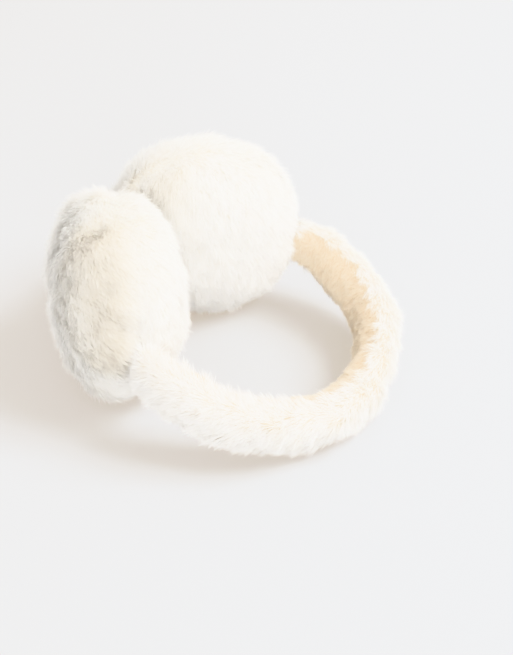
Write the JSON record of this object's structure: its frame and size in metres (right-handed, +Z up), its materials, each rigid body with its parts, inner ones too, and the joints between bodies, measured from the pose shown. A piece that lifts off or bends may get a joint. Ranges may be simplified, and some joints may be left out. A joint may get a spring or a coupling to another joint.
{
  "type": "fur earmuffs",
  "caption": "Fur earmuffs: round padded fur ear pads joined by a padded fur headband, lying on its side.",
  "frame": {"origin": "on the floor, midway along and across the part as it lies on its side", "axes": "+X from the pads to the headband's crown, +Y to the left pad as seen looking along +X, +Z up from the floor"},
  "size_m": [0.1848, 0.1648, 0.1025],
  "materials": {
    "pad_fur": "matte",
    "headband_fur": "matte",
    "headband_inner_fur": "matte"
  },
  "bodies": {
    "root": {"left_pad_cup": "pad_fur", "left_pad_face": "pad_fur", "right_pad_cup": "pad_fur", "right_pad_face": "pad_fur", "headband_outer_strip": "headband_fur", "headband_inner_strip": "headband_inner_fur"}
  },
  "joints": []
}
